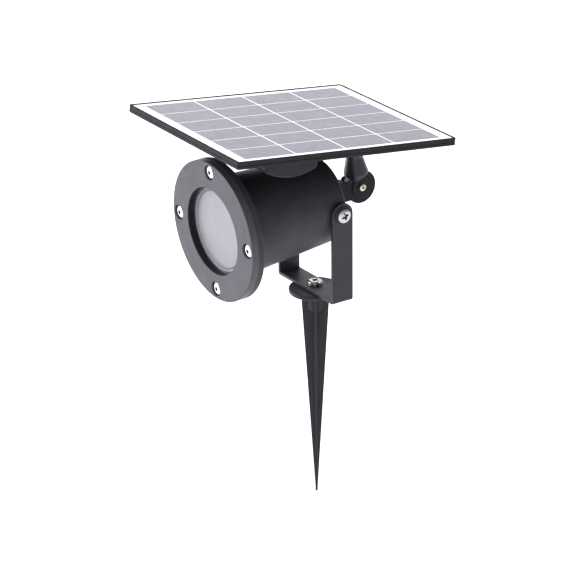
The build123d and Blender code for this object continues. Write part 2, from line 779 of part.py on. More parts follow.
def make_panel_stem():
    tongue_half = 1.95
    wire_turn = knuckle_centre + stem_plane.z_dir * (wire_height + wire_radius)
    with BuildPart() as panel_stem:
        with BuildSketch(Plane(origin=knuckle_centre, x_dir=(1, 0, 0), z_dir=-stem_plane.y_dir)):
            with BuildLine():
                Polyline(
                    (0, 4.8),
                    (7.9, 4.8),
                    (7.9, 9.4),
                    (5.4, 19.5),
                    (stem_radius, 27.0),
                    (stem_radius, stem_height - 8.0),
                    (7.0, stem_height + 2.0),
                    (0, stem_height + 2.0),
                    close=True,
                )
            make_face()
        revolve(axis=Axis(knuckle_centre, stem_plane.z_dir))
        with BuildSketch(stem_plane.offset(7.2) * Plane.XY.rotated((stem_foot_slope, 0, 0))):
            Rectangle(20, 20)
        extrude(amount=-6, mode=Mode.SUBTRACT)
        with BuildSketch(foot_plane):
            Circle(foot_radius)
        extrude(amount=-foot_thickness)
        with BuildSketch(foot_plane):
            Rectangle(30, 30)
        extrude(amount=6, mode=Mode.SUBTRACT)
        with BuildSketch(knuckle_plane(0)):
            Circle(knuckle_radius + open_gap)
        extrude(amount=knuckle_half_width + knuckle_step + open_gap, both=True, mode=Mode.SUBTRACT)
        with BuildSketch(stem_plane):
            Rectangle(2 * tongue_half, 14)
        extrude(amount=16)
        with BuildSketch(knuckle_plane(0)):
            Circle(knuckle_radius - 0.6)
        extrude(amount=tongue_half, both=True)
        with BuildSketch(knuckle_plane(0)):
            Circle(knuckle_pin_radius + shaft_gap / 2)
        extrude(amount=tongue_half, both=True, mode=Mode.SUBTRACT)
        with BuildSketch(foot_plane):
            with PolarLocations(10.5, 4, start_angle=45):
                Circle(1.5)
        extrude(amount=-foot_thickness, mode=Mode.SUBTRACT)
        with BuildSketch(stem_plane.offset(stem_height + 2.0)):
            Circle(wire_radius)
        extrude(amount=wire_height - stem_height - 2.0, mode=Mode.SUBTRACT)
        with BuildSketch(Plane(origin=wire_turn, x_dir=(1, 0, 0), z_dir=-stem_plane.y_dir)):
            Circle(wire_radius - 0.4)
        extrude(amount=knuckle_radius, mode=Mode.SUBTRACT)
    panel_stem.part.label = "panel_stem"
    export_step(panel_stem.part, "parts/panel_stem.step")

    with BuildPart() as knuckle_washers:
        for side in (1, -1):
            with BuildSketch(knuckle_plane(tongue_half + face_gap, side)):
                Circle(6)
                Circle(knuckle_pin_radius, mode=Mode.SUBTRACT)
            extrude(amount=fork_half_gap - tongue_half - face_gap)
    knuckle_washers.part.label = "knuckle_washers"
    export_step(knuckle_washers.part, "parts/knuckle_washers.step")

    screw = pan_screw(2.6, 1.8, 1.5, 3.0 + 1.8)
    with BuildPart() as stem_screws:
        with Locations(foot_plane.offset(-foot_thickness)):
            with PolarLocations(10.5, 4, start_angle=45):
                with Locations(Location((0, 0, 0), (180, 0, 0))):
                    add(screw)
    stem_screws.part.label = "stem_screws"
    export_step(stem_screws.part, "parts/stem_screws.step")


# ---------------------------------------------------------------- solar panel


def make_panel_frame():
    with BuildPart() as panel_frame:
        with BuildSketch(panel_plane):
            RectangleRounded(panel_width, panel_length, 1.5)
        extrude(amount=-panel_thickness)
        with BuildSketch(panel_plane):
            Rectangle(panel_width - 2 * panel_lip, panel_length - 2 * panel_lip)
        extrude(amount=-pocket_depth, mode=Mode.SUBTRACT)
        with BuildSketch(panel_plane):
            with Locations((0, housing_middle)):
                Rectangle(67, 12)
        extrude(amount=-panel_thickness, mode=Mode.SUBTRACT)
        with BuildSketch(panel_plane):
            with Locations((0, foot_y)):
                with PolarLocations(10.5, 4, start_angle=45):
                    Circle(1.5)
            with Locations((0, housing_middle)):
                with GridLocations(60, 28, 2, 2):
                    Circle(1.5)
        extrude(amount=-panel_thickness, mode=Mode.SUBTRACT)
        with BuildSketch(panel_plane.offset(-pocket_depth)):
            with Locations((0, (housing_middle + foot_y) / 2)):
                Rectangle(2 * wire_radius, foot_y - housing_middle)
        extrude(amount=-1.2, mode=Mode.SUBTRACT)
        with BuildSketch(panel_plane):
            with Locations((0, foot_y)):
                Circle(wire_radius)
        extrude(amount=-panel_thickness, mode=Mode.SUBTRACT)
        with Locations(panel_plane.offset(-pocket_depth)):
            with Locations((0, housing_middle)):
                with GridLocations(60, 28, 2, 2):
                    CounterSinkHole(radius=1.5, counter_sink_radius=3.0, depth=3, counter_sink_angle=90)
        chamfer(panel_frame.edges().group_by(Axis.Z)[-1], 0.3)
    panel_frame.part.label = "panel_frame"
    export_step(panel_frame.part, "parts/panel_frame.step")


def make_panel_laminate():
    inner_width = panel_width - 2 * panel_lip
    inner_length = panel_length - 2 * panel_lip
    with BuildPart() as panel_backsheet:
        with BuildSketch(panel_plane.offset(-pocket_depth)):
            Rectangle(inner_width, inner_length)
        extrude(amount=backsheet_top + pocket_depth)
    panel_backsheet.part.label = "panel_backsheet"
    export_step(panel_backsheet.part, "parts/panel_backsheet.step")

    with BuildPart() as solar_cells:
        with BuildSketch(panel_plane.offset(backsheet_top)):
            with GridLocations(cell_row_pitch, cell_column_pitch, cell_rows, cell_columns):
                Rectangle(cell_row_pitch - row_gap, cell_column_pitch - column_gap)
        extrude(amount=cell_top - backsheet_top)
    solar_cells.part.label = "solar_cells"
    export_step(solar_cells.part, "parts/solar_cells.step")

    with BuildPart() as cover_sheet:
        with BuildSketch(panel_plane.offset(cell_top)):
            Rectangle(inner_width, inner_length)
        extrude(amount=cover_top - cell_top)
    cover_sheet.part.label = "cover_sheet"
    export_step(cover_sheet.part, "parts/cover_sheet.step")


# ---------------------------------------------------------------- battery housing


def housing_profile_plane(x):
    """Plane across the battery housing, facing +X, with its own X along the panel and Y up."""
    origin = panel_plane.from_local_coords(Vector(x, 0, 0))
    return Plane(origin=origin, x_dir=panel_plane.y_dir, z_dir=(1, 0, 0))


def housing_outline(inset, floor_inset, top):
    """Arched outline of the housing, brought in from its outer faces."""
    front = housing_front + inset
    rear = housing_rear - inset
    with BuildSketch() as outline:
        with BuildLine():
            Polyline((front, -housing_side_depth + floor_inset), (front, top), (rear, top),
                     (rear, -housing_side_depth + floor_inset))
            ThreePointArc(
                (rear, -housing_side_depth + floor_inset),
                (housing_middle, -housing_middle_depth + floor_inset),
                (front, -housing_side_depth + floor_inset),
            )
        make_face()
        fillet(near(outline, (front, -housing_side_depth), (rear, -housing_side_depth)), 2.5)
    return outline.sketch


def make_battery_housing():
    rim = -panel_thickness - 0.5
    outer = housing_outline(0, 0, rim)
    inner = housing_outline(housing_wall, housing_floor, rim)
    with BuildPart() as housing_gasket:
        with BuildSketch(panel_plane.offset(rim)):
            with Locations((0, housing_middle)):
                Rectangle(2 * housing_half_length - 0.6, housing_rear - housing_front - 0.6)
                Rectangle(2 * housing_half_length - 4, housing_rear - housing_front - 4, mode=Mode.SUBTRACT)
                with GridLocations(60, 28, 2, 2):
                    Circle(1.5, mode=Mode.SUBTRACT)
        extrude(amount=0.5)
    housing_gasket.part.label = "housing_gasket"
    export_step(housing_gasket.part, "parts/housing_gasket.step")

    with BuildPart() as battery_housing:
        with BuildSketch(housing_profile_plane(0)):
            add(outer)
        extrude(amount=housing_half_length, both=True)
        ends = battery_housing.faces().filter_by(Axis.X)
        lower = [e for face in ends for e in face.edges().sort_by(Axis.Z)[:3]]
        fillet(lower, 1.6)
        with BuildSketch(housing_profile_plane(0)):
            add(inner)
        extrude(amount=housing_half_length - housing_wall, both=True, mode=Mode.SUBTRACT)
        with BuildSketch(panel_plane.offset(rim)):
            with Locations((0, housing_middle)):
                with GridLocations(60, 28, 2, 2):
                    Circle(3.2)
        extrude(amount=-12)
        with BuildSketch(panel_plane.offset(rim)):
            with Locations((0, housing_middle)):
                with GridLocations(60, 28, 2, 2):
                    Circle(1.5)
        extrude(amount=-9, mode=Mode.SUBTRACT)
        with BuildSketch(housing_wall_plane(housing_front)):
            Circle(button_radius + shaft_gap)
        extrude(amount=-housing_wall, mode=Mode.SUBTRACT)
    battery_housing.part.label = "battery_housing"
    export_step(battery_housing.part, "parts/battery_housing.step")

    screw = countersunk_screw(3.0, 1.5, 10.0)
    with BuildPart() as housing_screws:
        with Locations(panel_plane.offset(-pocket_depth)):
            with Locations((0, housing_middle)):
                with GridLocations(60, 28, 2, 2):
                    add(screw)
    housing_screws.part.label = "housing_screws"
    export_step(housing_screws.part, "parts/housing_screws.step")


def make_battery():
    axle_plane = housing_profile_plane(0)
    with BuildPart() as battery_cell:
        with BuildSketch(axle_plane):
            with Locations((housing_middle, -cell_depth)):
                Circle(cell_radius)
        extrude(amount=cell_half_length - 0.5, both=True)
        fillet(battery_cell.edges().filter_by(GeomType.CIRCLE), 0.6)
        with BuildSketch(axle_plane):
            with Locations((housing_middle, -cell_depth)):
                Circle(3)
        extrude(amount=cell_half_length)
    battery_cell.part.label = "battery_cell"
    export_step(battery_cell.part, "parts/battery_cell.step")

    with BuildPart() as battery_contacts:
        for side in (1, -1):
            inner = cell_half_length if side == 1 else cell_half_length - 0.5
            outer = housing_half_length - housing_wall
            with BuildSketch(housing_profile_plane(side * outer)):
                with Locations((housing_middle, -cell_depth)):
                    Rectangle(10, 10)
            extrude(amount=-side * 0.5)
            with BuildSketch(housing_profile_plane(side * outer)):
                with Locations((housing_middle, -cell_depth)):
                    Circle(2.5)
            extrude(amount=side * (inner - outer))
    battery_contacts.part.label = "battery_contacts"
    export_step(battery_contacts.part, "parts/battery_contacts.step")


def make_charge_board():
    board_rear = housing_middle - cell_radius - 0.5
    board_face = board_rear - 1.2
    switch_face = board_face - 3.4
    with BuildPart() as charge_board:
        with BuildSketch(housing_wall_plane(board_rear)):
            Rectangle(50, 11)
        extrude(amount=1.2)
        with BuildSketch(housing_wall_plane(board_face)):
            with Locations((-14, 0)):
                Rectangle(5, 4)
            with Locations((13, 1)):
                Rectangle(7, 5)
        extrude(amount=1.6)
    charge_board.part.label = "charge_board"
    export_step(charge_board.part, "parts/charge_board.step")

    with BuildPart() as tact_switch:
        with BuildSketch(housing_wall_plane(board_face)):
            Rectangle(6, 6)
        extrude(amount=3.4)
        with BuildSketch(housing_wall_plane(switch_face)):
            Circle(1.5 + face_gap)
        extrude(amount=-2.4, mode=Mode.SUBTRACT)
    tact_switch.part.label = "tact_switch"
    export_step(tact_switch.part, "parts/tact_switch.step")

    wall_inside = housing_front + housing_wall
    with BuildPart() as power_button:
        with BuildSketch(housing_wall_plane(wall_inside + face_gap)):
            Circle(button_radius)
        extrude(amount=housing_wall + 1.6)
        fillet(power_button.edges().group_by(Axis.Y)[0], 0.6)
        with BuildSketch(housing_wall_plane(wall_inside + face_gap)):
            Circle(button_radius + 0.8)
        extrude(amount=-0.5)
        with BuildSketch(housing_wall_plane(wall_inside + face_gap)):
            Circle(1.5)
        extrude(amount=wall_inside - switch_face - 1.4)
    power_button.part.label = "power_button"
    export_step(power_button.part, "parts/power_button.step")

    with BuildPart() as button_bezel:
        with BuildSketch(housing_wall_plane(housing_front)):
            Circle(button_radius + 1.8)
            Circle(button_radius + shaft_gap, mode=Mode.SUBTRACT)
        extrude(amount=0.8)
        fillet(button_bezel.edges().group_by(Axis.Y)[0].sort_by(SortBy.LENGTH)[-1], 0.4)
    button_bezel.part.label = "button_bezel"
    export_step(button_bezel.part, "parts/button_bezel.step")


make_ground_spike()
make_base_fastening()
make_u_bracket()
make_barrel_housing()
make_front_bezel()
make_bezel_fittings()
make_pivots()
make_lens_group()
make_light_source()
make_heat_sink()
make_pattern_drive()
make_driver()
make_hinge_arm()
make_panel_stem()
make_panel_frame()
make_panel_laminate()
make_battery_housing()
make_battery()
make_charge_board()
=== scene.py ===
import json
from math import acos, cos, degrees, pi, radians, sin, tan

import bmesh
import bpy
from mathutils import Matrix, Vector


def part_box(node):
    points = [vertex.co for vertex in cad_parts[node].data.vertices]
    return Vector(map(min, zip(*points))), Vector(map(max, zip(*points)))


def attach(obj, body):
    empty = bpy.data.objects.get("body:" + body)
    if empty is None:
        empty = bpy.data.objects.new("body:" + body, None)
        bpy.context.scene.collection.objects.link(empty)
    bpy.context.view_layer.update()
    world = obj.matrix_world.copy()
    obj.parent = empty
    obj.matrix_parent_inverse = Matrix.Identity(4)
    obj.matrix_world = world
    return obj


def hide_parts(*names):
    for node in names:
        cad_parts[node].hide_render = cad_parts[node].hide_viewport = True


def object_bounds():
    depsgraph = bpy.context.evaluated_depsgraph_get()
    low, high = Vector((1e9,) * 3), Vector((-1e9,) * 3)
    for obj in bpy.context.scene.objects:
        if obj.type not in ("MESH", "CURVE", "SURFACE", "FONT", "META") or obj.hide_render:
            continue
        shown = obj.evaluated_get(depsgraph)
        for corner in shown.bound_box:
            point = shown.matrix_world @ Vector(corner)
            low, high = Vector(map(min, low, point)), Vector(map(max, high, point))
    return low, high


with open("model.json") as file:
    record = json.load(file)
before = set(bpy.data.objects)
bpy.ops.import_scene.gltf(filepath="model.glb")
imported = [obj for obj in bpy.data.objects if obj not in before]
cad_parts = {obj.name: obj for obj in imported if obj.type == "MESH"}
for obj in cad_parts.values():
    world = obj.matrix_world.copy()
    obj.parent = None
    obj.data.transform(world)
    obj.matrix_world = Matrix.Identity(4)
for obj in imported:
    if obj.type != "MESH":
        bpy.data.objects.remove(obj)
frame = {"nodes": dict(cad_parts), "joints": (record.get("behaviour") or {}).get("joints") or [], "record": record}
cad_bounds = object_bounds()

# Shapes are written in millimetres in a piece's own axes, and made() turns them into metres in the frame.
MM = 0.001
ARC_STEP = radians(9)

joints = {joint["name"]: joint for joint in frame["joints"]}
X = Vector((1, 0, 0))
Z = Vector((0, 0, 1))
pin_centre = Vector(joints["projector_tilt"]["pos_m"])
light = Vector(joints["wheel_spin"]["axis"])
knuckle_centre = Vector(joints["panel_tilt"]["pos_m"])
panel_along = Vector(joints["button_press"]["axis"])
panel_normal = X.cross(panel_along)


# ---------------------------------------------------------------- places


def axes(origin, x, z):
    """Matrix of a set of axes at origin, with their X and Z directions."""
    z = Vector(z).normalized()
    y = z.cross(x).normalized()
    x = y.cross(z)
    return Matrix.Translation(origin) @ Matrix((x, y, z)).transposed().to_4x4()


def middle(node):
    low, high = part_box(node)
    return (low + high) / 2


def size(node):
    low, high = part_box(node)
    return (high - low) / MM


panel_width = size("panel_frame").x
panel_thickness = 4.8
panel_length = (size("panel_frame").y - panel_thickness * panel_normal.y) / panel_along.y
panel_middle = middle("panel_frame") + panel_normal * panel_thickness / 2 * MM

stem_lean = radians(7)
stem_direction = Vector((0, -sin(stem_lean), cos(stem_lean)))

WORLD = Matrix.Identity(4)
LIGHT = axes(pin_centre, X, light)
PANEL = axes(panel_middle, X, panel_normal)
KNUCKLE = axes(knuckle_centre, light, -X)
KNUCKLE_FLIPPED = axes(knuckle_centre, light, X)
STEM = axes(knuckle_centre, X, stem_direction)


# ---------------------------------------------------------------- mesh tools


def rounded(corners, closed=True):
    """Outline from (x, y, radius) corners, with each corner that has a radius turned into an arc."""
    points = []
    count = len(corners)
    for i, (x, y, radius) in enumerate(corners):
        here = Vector((x, y))
        if radius <= 0 or (not closed and i in (0, count - 1)):
            points.append(here)
            continue
        before = (Vector(corners[i - 1][:2]) - here).normalized()
        after = (Vector(corners[(i + 1) % count][:2]) - here).normalized()
        angle = before.angle(after)
        reach = radius / tan(angle / 2)
        centre = here + (before + after).normalized() * radius / sin(angle / 2)
        start = here + before * reach - centre
        end = here + after * reach - centre
        sweep = start.angle(end)
        turn = 1 if start.x * end.y - start.y * end.x > 0 else -1
        steps = max(2, round(sweep / ARC_STEP))
        for k in range(steps + 1):
            points.append(centre + Matrix.Rotation(turn * sweep * k / steps, 2) @ start)
    return points


def arc(cx, cy, radius, start, end, steps=None):
    """Points on an arc, with its angles in degrees."""
    steps = steps or max(2, round(abs(radians(end - start)) / ARC_STEP))
    turns = [radians(start + (end - start) * k / steps) for k in range(steps + 1)]
    return [Vector((cx + radius * cos(a), cy + radius * sin(a))) for a in turns]


def made(name, bm, place=WORLD):
    """Object from a bmesh in millimetres, placed in the frame, with its normals outwards."""
    bmesh.ops.remove_doubles(bm, verts=bm.verts, dist=1e-4)
    bmesh.ops.recalc_face_normals(bm, faces=bm.faces)
    mesh = bpy.data.meshes.new(name)
    bm.to_mesh(mesh)
    bm.free()
    mesh.transform(place @ Matrix.Scale(MM, 4))
    obj = bpy.data.objects.new(name, mesh)
    bpy.context.scene.collection.objects.link(obj)
    return obj


def lathe(name, outline, place=WORLD, steps=96):
    """Closed solid of revolution: the outline is a closed loop of (radius, height) points."""
    bm = bmesh.new()
    rings = []
    for r, h in outline:
        if r < 1e-6:
            rings.append([bm.verts.new((0, 0, h))] * steps)
            continue
        turns = [2 * pi * k / steps for k in range(steps)]
        rings.append([bm.verts.new((r * cos(a), r * sin(a), h)) for a in turns])
    for i, ring in enumerate(rings):
        following = rings[(i + 1) % len(rings)]
        if ring[0] is ring[1] and following[0] is following[1]:
            continue
        for k in range(steps):
            corners = [ring[k], ring[(k + 1) % steps], following[(k + 1) % steps], following[k]]
            bm.faces.new(dict.fromkeys(corners))
    return made(name, bm, place)


def prism(name, outline, low, high, place=WORLD, shrink=1.0):
    """Solid between two heights from a closed (x, y) outline, which can narrow towards its low end."""
    bm = bmesh.new()
    bottom = [bm.verts.new((x * shrink, y * shrink, low)) for x, y in outline]
    top = [bm.verts.new((x, y, high)) for x, y in outline]
    bm.faces.new(bottom)
    bm.faces.new(top)
    for i in range(len(outline)):
        j = (i + 1) % len(outline)
        bm.faces.new((bottom[i], bottom[j], top[j], top[i]))
    return made(name, bm, place)


def settle(obj):
    """Turns an object's modifiers into its mesh."""
    view = bpy.context.evaluated_depsgraph_get()
    mesh = bpy.data.meshes.new_from_object(obj.evaluated_get(view))
    obj.modifiers.clear()
    obj.data = mesh
    return obj


def combine(obj, tools, operation):
    """Cuts the tools from obj, or joins them to it, and removes them."""
    for tool in tools:
        step = obj.modifiers.new(operation, "BOOLEAN")
        step.operation = operation
        step.object = tool
        step.solver = "EXACT"
        step.material_mode = "TRANSFER"
        settle(obj)
        bpy.data.objects.remove(tool)
    return obj


def cut(obj, *tools):
    return combine(obj, tools, "DIFFERENCE")


def joined(obj, *tools):
    return combine(obj, tools, "UNION")


def softened(obj, width, segments=2, angle=35):
    """Rounds an object's sharp edges by a width in millimetres."""
    bm = bmesh.new()
    bm.from_mesh(obj.data)
    bmesh.ops.remove_doubles(bm, verts=bm.verts, dist=2e-6)
    bmesh.ops.dissolve_limit(bm, angle_limit=radians(0.5), verts=bm.verts, edges=bm.edges)
    bm.to_mesh(obj.data)
    bm.free()
    bevel = obj.modifiers.new("bevel", "BEVEL")
    bevel.width = width * MM
    bevel.segments = segments
    bevel.limit_method = "ANGLE"
    bevel.angle_limit = radians(angle)
    bevel.harden_normals = False
    return settle(obj)


def shaded(obj, angle=32):
    """Smooth shading that keeps flat faces flat and edges sharper than the angle crisp."""
    obj.data.shade_smooth()
    obj.data.set_sharp_from_angle(angle=radians(angle))
    weigh = obj.modifiers.new("normals", "WEIGHTED_NORMAL")
    weigh.keep_sharp = True
    weigh.weight = 100
    return obj


def copies(obj, name, places):
    """One object made of copies of obj at several places, given as matrices in millimetres."""
    bm = bmesh.new()
    source = settle(obj).data
    for place in places:
        start = len(bm.verts)
        bm.from_mesh(source)
        bm.verts.ensure_lookup_table()
        bmesh.ops.transform(bm, matrix=place, verts=bm.verts[start:])
    mesh = bpy.data.meshes.new(name)
    for material in source.materials:
        mesh.materials.append(material)
    bm.to_mesh(mesh)
    bm.free()
    bpy.data.objects.remove(obj)
    result = bpy.data.objects.new(name, mesh)
    bpy.context.scene.collection.objects.link(result)
    return result


def finished(obj, material, body, slot, *nodes):
    """Gives a piece its material and the body it rides on, and hides the CAD nodes it stands for. Its slot is not
    used.
    """
    if obj.data.materials:
        obj.data.materials[0] = material
    else:
        obj.data.materials.append(material)
    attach(obj, body)
    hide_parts(*nodes)
    return obj


def painted(obj, material, chosen):
    """Gives a second material to the faces that chosen picks by their centre and normal."""
    obj.data.materials.append(material)
    for face in obj.data.polygons:
        if chosen(face.center, face.normal):
            face.material_index = 1


def off_axis(point):
    """How far a point lies from the light's axis, in millimetres."""
    offset = point - pin_centre
    return (offset - light * offset.dot(light)).length / MM


# ---------------------------------------------------------------- materials


def socket(node, name, value):
    node.inputs[name].default_value = value


class Surface:
    """A procedural material built on the Principled BSDF, in the piece's own coordinates."""

    def __init__(self, name, colour, roughness, metallic=0.0, **sockets):
        self.material = bpy.data.materials.new(name)
        self.material.use_nodes = True
        self.tree = self.material.node_tree
        self.shader = self.tree.nodes["Principled BSDF"]
        socket(self.shader, "Base Color", (*colour, 1))
        socket(self.shader, "Roughness", roughness)
        socket(self.shader, "Metallic", metallic)
        for key, value in sockets.items():
            socket(self.shader, key.replace("_", " "), value)
        self.place = self.node("ShaderNodeTexCoord").outputs["Object"]
        self.colour = colour
        self.roughness = roughness

    def node(self, kind, **settings):
        node = self.tree.nodes.new(kind)
        for key, value in settings.items():
            setattr(node, key, value)
        return node

    def link(self, output, node, name):
        self.tree.links.new(output, node.inputs[name])

    def noise(self, grain, detail=4.0, rough=0.55, stretch=(1, 1, 1)):
        """Noise whose lumps are about grain millimetres across."""
        mapping = self.node("ShaderNodeMapping")
        socket(mapping, "Scale", stretch)
        self.link(self.place, mapping, "Vector")
        noise = self.node("ShaderNodeTexNoise")
        socket(noise, "Scale", 1 / (grain * MM))
        socket(noise, "Detail", detail)
        socket(noise, "Roughness", rough)
        self.link(mapping.outputs["Vector"], noise, "Vector")
        return noise.outputs["Fac"]

    def spread(self, fac, low, high, start=0.3, end=0.7):
        """A number from low to high as fac goes from start to end."""
        spread = self.node("ShaderNodeMapRange")
        self.link(fac, spread, "Value")
        for name, value in zip(("From Min", "From Max", "To Min", "To Max"), (start, end, low, high)):
            socket(spread, name, value)
        return spread.outputs["Result"]

    def tint(self, fac, colour, amount=1.0, start=0.35, end=0.65):
        """Lays another colour over the base colour where fac is high."""
        mix = self.node("ShaderNodeMix", data_type="RGBA")
        self.link(self.spread(fac, 0.0, amount, start, end), mix, "Factor")
        source = self.shader.inputs["Base Color"]
        # A mix node's sockets share their names, so its colours are picked by their places.
        under, over, mixed = mix.inputs[6], mix.inputs[7], mix.outputs[2]
        if source.is_linked:
            self.tree.links.new(source.links[0].from_socket, under)
        else:
            under.default_value = (*self.colour, 1)
        over.default_value = (*colour, 1)
        self.tree.links.new(mixed, source)

    def gloss(self, fac, change, start=0.3, end=0.7):
        """Varies the roughness around its value."""
        low, high = self.roughness - change, self.roughness + change
        self.link(self.spread(fac, low, high, start, end), self.shader, "Roughness")

    def bump(self, fac, height, strength=1.0):
        """Raises the surface by up to height millimetres, on top of the bumps already there."""
        bump = self.node("ShaderNodeBump")
        socket(bump, "Strength", strength)
        socket(bump, "Distance", height * MM)
        self.link(fac, bump, "Height")
        normal = self.shader.inputs["Normal"]
        if normal.is_linked:
            self.tree.links.new(normal.links[0].from_socket, bump.inputs["Normal"])
        self.tree.links.new(bump.outputs["Normal"], normal)

    def edges(self, width):
        """1 on edges, 0 on faces: how far a softened normal turns from the real one."""
        soft = self.node("ShaderNodeBevel", samples=4)
        socket(soft, "Radius", width * MM)
        real = self.node("ShaderNodeNewGeometry")
        dot = self.node("ShaderNodeVectorMath", operation="DOT_PRODUCT")
        self.tree.links.new(soft.outputs["Normal"], dot.inputs[0])
        self.tree.links.new(real.outputs["Normal"], dot.inputs[1])
        return self.spread(dot.outputs["Value"], 1.0, 0.0, 0.75, 0.995)


# Tint of the shine on dark coats and plastics.
cool_shine = (0.88, 0.86, 1.0, 1)


def coated_metal(name, colour, roughness, edge_wear_and_highlight, shine=0.32):
    """Powder-coated metal: fine orange peel, slight cloudiness, and paler edges that are partly wear and partly
    painted highlight.
    """
    surface = Surface(name, colour, roughness, Specular_IOR_Level=shine, Specular_Tint=cool_shine)
    surface.tint(surface.noise(14, 3), [c * 1.35 for c in colour], 0.6)
    surface.gloss(surface.noise(5, 5), 0.05)
    surface.bump(surface.noise(0.55, 2), 0.010)
    # Paler edges: partly wear, partly a painted highlight along the edges.
    edge = surface.edges(0.5)
    ragged = surface.node("ShaderNodeMath", operation="MULTIPLY")
    surface.tree.links.new(edge, ragged.inputs[0])
    surface.tree.links.new(surface.spread(surface.noise(1.2, 4), 0.2, 1.0), ragged.inputs[1])
    surface.tint(ragged.outputs[0], edge_wear_and_highlight, 0.55, 0.1, 0.9)
    return surface.material


def moulded_plastic(name, colour, roughness, scuffs=0.5, shine=0.22, edge_highlight=None):
    """Moulded plastic: a spark-eroded grain, soft sink marks, faint pale scuffs, and maybe paler edges as a
    painted highlight.
    """
    surface = Surface(name, colour, roughness, Specular_IOR_Level=shine, Specular_Tint=cool_shine)
    surface.tint(surface.noise(20, 2), [c * 1.5 for c in colour], 0.5)
    pale = [c * 2.2 + 0.01 for c in colour]
    surface.tint(surface.noise(2.6, 8, 0.75, (1, 1, 0.25)), pale, scuffs, 0.62, 0.8)
    # Paler edges: a painted highlight.
    if edge_highlight:
        surface.tint(surface.edges(0.5), edge_highlight, 0.8, 0.05, 0.6)
    surface.gloss(surface.noise(4, 5), 0.07)
    surface.bump(surface.noise(18, 1), 0.03)
    surface.bump(surface.noise(0.35, 2), 0.006)
    return surface.material


def bright_metal(name, colour, roughness):
    """Plated or bare metal: fine turned scratches, with small changes in gloss."""
    surface = Surface(name, colour, roughness, 1.0)
    surface.tint(surface.noise(1.6, 4), [c * 0.82 for c in colour], 0.7)
    surface.gloss(surface.noise(0.8, 5), roughness * 0.5)
    surface.bump(surface.noise(0.25, 3, 0.6, (1, 1, 6)), 0.004)
    return surface.material


def soft_rubber(name, colour):
    surface = Surface(name, colour, 0.75)
    surface.tint(surface.noise(6, 4), [c * 1.8 for c in colour], 0.6)
    surface.gloss(surface.noise(2, 4), 0.1)
    surface.bump(surface.noise(0.3, 3), 0.01)
    return surface.material


def frosted_glass(name):
    """Glass with an etched face: pale and slightly cloudy, with a fine sparkle in its gloss."""
    surface = Surface(
        name, (0.215, 0.215, 0.247), 0.36,
        Transmission_Weight=0.12, IOR=1.5, Coat_Weight=0.25, Coat_Roughness=0.12,
    )
    surface.tint(surface.noise(16, 2), (0.25, 0.25, 0.285), 0.7)
    surface.tint(surface.noise(0.5, 3), (0.20, 0.20, 0.235), 0.3)
    surface.gloss(surface.noise(0.7, 4), 0.06)
    surface.bump(surface.noise(0.22, 2), 0.005)
    return surface.material


def clear_plastic(name):
    surface = Surface(name, (0.92, 0.93, 0.95), 0.05, Transmission_Weight=0.85, IOR=1.49)
    surface.gloss(surface.noise(3, 4), 0.03)
    surface.bump(surface.noise(5, 2), 0.01)
    return surface.material


def solar_cell(name):
    """Silicon under a clear sheet: contact lines across each cell, cloudy crystal, and a glossy coat."""
    surface = Surface(
        name, (0.052, 0.051, 0.092), 0.45,
        Specular_IOR_Level=0.15, Coat_Weight=1.0, Coat_Roughness=0.10, Coat_IOR=1.37,
    )
    surface.tint(surface.noise(9, 6, 0.7, (1, 0.35, 1)), (0.072, 0.070, 0.112), 0.9)
    surface.tint(surface.noise(1.6, 8, 0.8, (1.6, 0.4, 1)), (0.042, 0.041, 0.074), 0.6, 0.45, 0.75)
    lines = surface.node("ShaderNodeTexWave", wave_type="BANDS", bands_direction="Y", wave_profile="SIN")
    line_pitch = 1.8
    socket(lines, "Scale", 1 / (20 * line_pitch * MM) * 2 * pi)
    socket(lines, "Distortion", 0.0)
    surface.link(surface.place, lines, "Vector")
    surface.tint(lines.outputs["Fac"], (0.22, 0.22, 0.25), 0.30, 0.80, 1.0)
    surface.gloss(surface.noise(6, 5), 0.08)
    surface.bump(surface.noise(12, 3), 0.02)
    return surface.material


def laminate_white(name):
    """White backing film under the clear sheet."""
    surface = Surface(name, (0.83, 0.83, 0.84), 0.45, Coat_Weight=1.0, Coat_Roughness=0.10, Coat_IOR=1.5)
    surface.tint(surface.noise(25, 3), (0.76, 0.76, 0.78), 0.5)
    surface.gloss(surface.noise(8, 4), 0.06)
    surface.bump(surface.noise(10, 3), 0.02)
    return surface.material


def circuit_board(name, colour):
    surface = Surface(name, colour, 0.4)
    tracks = surface.node("ShaderNodeTexBrick")
    socket(tracks, "Scale", 1 / (7 * MM))
    socket(tracks, "Mortar Size", 0.06)
    surface.link(surface.place, tracks, "Vector")
    surface.tint(tracks.outputs["Fac"], [c * 1.6 + 0.02 for c in colour], 0.5, 0.3, 0.7)
    surface.gloss(surface.noise(4, 3), 0.06)
    surface.bump(tracks.outputs["Fac"], 0.02)
    return surface.material


def shrink_sleeve(name, colour):
    surface = Surface(name, colour, 0.3)
    surface.tint(surface.noise(9, 4), [c * 1.4 for c in colour], 0.5)
    surface.gloss(surface.noise(3, 5), 0.08)
    surface.bump(surface.noise(4, 5, 0.6, (0.3, 1, 1)), 0.03)
    return surface.material


